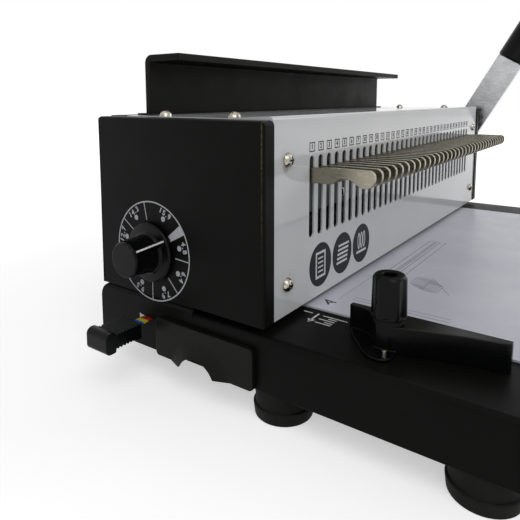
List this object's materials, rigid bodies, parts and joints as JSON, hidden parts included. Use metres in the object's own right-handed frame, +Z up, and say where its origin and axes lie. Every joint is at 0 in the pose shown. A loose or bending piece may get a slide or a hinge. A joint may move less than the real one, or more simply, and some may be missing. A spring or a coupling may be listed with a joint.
{
  "type": "wire binding machine",
  "caption": "Desk machine that punches a sheet stack with a row of square pins and closes double-loop wire under a press bar, worked by one side handle.",
  "frame": {"origin": "centre of the overall footprint, at the level of the feet's undersides", "axes": "+X along the front from the dial end to the handle end, +Y from the front table to the rear cover, +Z up"},
  "size_m": [0.4148, 0.2162, 0.2692],
  "materials": {
    "black_sheet": "black satin powder coat with a fine grain, on folded steel sheet",
    "white_sheet": "glossy cool white paint on folded steel sheet",
    "table_laminate": "pale printed plate with a brown cut edge",
    "rubber": "black moulded rubber",
    "black_plastic": "black moulded plastic, lightly textured",
    "fibre_washer": "dark pressed washer",
    "zinc_steel": "zinc-plated steel sheet",
    "ground_steel": "ground and hardened steel, lightly oiled",
    "bronze": "plain bronze bearing",
    "spring_steel": "oiled spring wire",
    "nickel": "warm nickel plate with polished edges",
    "screw_steel": "plated screw steel",
    "strip_paint": "zinc strip with blue, yellow and red bands",
    "arm_steel": "satin chrome on flat bar"
  },
  "bodies": {
    "root": {"base_shell": "black_sheet", "bottom_plate": "black_sheet", "rubber_feet": "rubber", "foot_screws": "screw_steel", "table_plate": "table_laminate", "left_frame": "zinc_steel", "right_frame": "zinc_steel", "frame_strap": "zinc_steel", "tie_bar": "zinc_steel", "strap_screws": "screw_steel", "guide_rods": "ground_steel", "shaft_bushes": "bronze", "dial_bush": "bronze", "handle_springs": "spring_steel", "spring_posts": "zinc_steel", "die_plate": "ground_steel", "guide_plate": "ground_steel", "selector_bracket": "zinc_steel", "left_cover": "black_sheet", "right_cover": "black_sheet", "top_cover": "white_sheet", "rear_cover": "black_sheet", "slot_trim": "black_sheet", "cover_screws": "nickel"},
    "handle": {"main_shaft": "ground_steel", "punch_cams": "ground_steel", "lift_sectors": "ground_steel", "handle_arm": "arm_steel", "handle_grip": "black_plastic", "hub_screw": "screw_steel"},
    "punch": {"punch_bar": "zinc_steel", "punch_pins": "ground_steel", "pin_keeper": "zinc_steel", "punch_springs": "spring_steel"},
    "carriage": {"left_slide": "zinc_steel", "right_slide": "zinc_steel", "lift_racks": "ground_steel", "slide_bushes": "bronze", "finger_bar": "zinc_steel", "fingers": "nickel", "finger_keeper": "zinc_steel", "carriage_screws": "screw_steel", "press_bar": "black_sheet", "bar_brackets": "zinc_steel"},
    "dial": {"dial_knob": "black_plastic", "dial_spindle": "ground_steel", "size_cam": "ground_steel"},
    "drawer": {"chip_tray": "black_sheet", "drawer_front": "black_sheet", "drawer_screws": "screw_steel"},
    "selector": {"selector_strip": "strip_paint", "selector_grip": "black_plastic"},
    "gauge": {"back_gauge": "zinc_steel", "gauge_link": "zinc_steel"},
    "guide": {"edge_guide": "black_plastic", "guide_stud": "nickel", "guide_nut": "zinc_steel", "lock_washer": "fibre_washer"},
    "lock": {"lock_knob": "black_plastic", "lock_screw": "screw_steel"}
  },
  "joints": [
    {"name": "handle_turn", "type": "hinge", "parent": "root", "child": "handle", "pos_m": [0.1838, 0.0289, 0.0824], "axis": [1, 0, 0], "range_deg": [0, 64], "stiffness_Nm_per_rad": 0.9, "springref_deg": -48.7},
    {"name": "punch_travel", "type": "slide", "parent": "root", "child": "punch", "axis": [0, 0, -1], "range_m": [0, 0.009], "deforming": ["punch_springs"]},
    {"name": "carriage_travel", "type": "slide", "parent": "root", "child": "carriage", "axis": [0, 0, -1], "range_m": [0, 0.02513]},
    {"name": "dial_turn", "type": "hinge", "parent": "root", "child": "dial", "pos_m": [-0.17761, 0.0663, 0.0659], "axis": [-1, 0, 0], "range_deg": [0, 340]},
    {"name": "drawer_slide", "type": "slide", "parent": "root", "child": "drawer", "axis": [-1, 0, 0], "range_m": [0, 0.3]},
    {"name": "selector_slide", "type": "slide", "parent": "root", "child": "selector", "axis": [1, 0, 0], "range_m": [0, 0.0068]},
    {"name": "gauge_slide", "type": "slide", "parent": "root", "child": "gauge", "axis": [0, -1, 0], "range_m": [0, 0.004]},
    {"name": "guide_slide", "type": "slide", "parent": "root", "child": "guide", "axis": [1, 0, 0], "range_m": [-0.004, 0.005]},
    {"name": "lock_turn", "type": "hinge", "parent": "guide", "child": "lock", "pos_m": [-0.15611, -0.0491, 0.0424], "axis": [0, 0, 1], "range_deg": [0, 270]}
  ],
  "couplings": [
    {"joint": "punch_travel", "follows": "handle_turn", "m_per_rad": 0.0080572},
    {"joint": "carriage_travel", "follows": "handle_turn", "m_per_rad": 0.0225},
    {"joint": "gauge_slide", "follows": "selector_slide", "ratio": 0.58823}
  ]
}
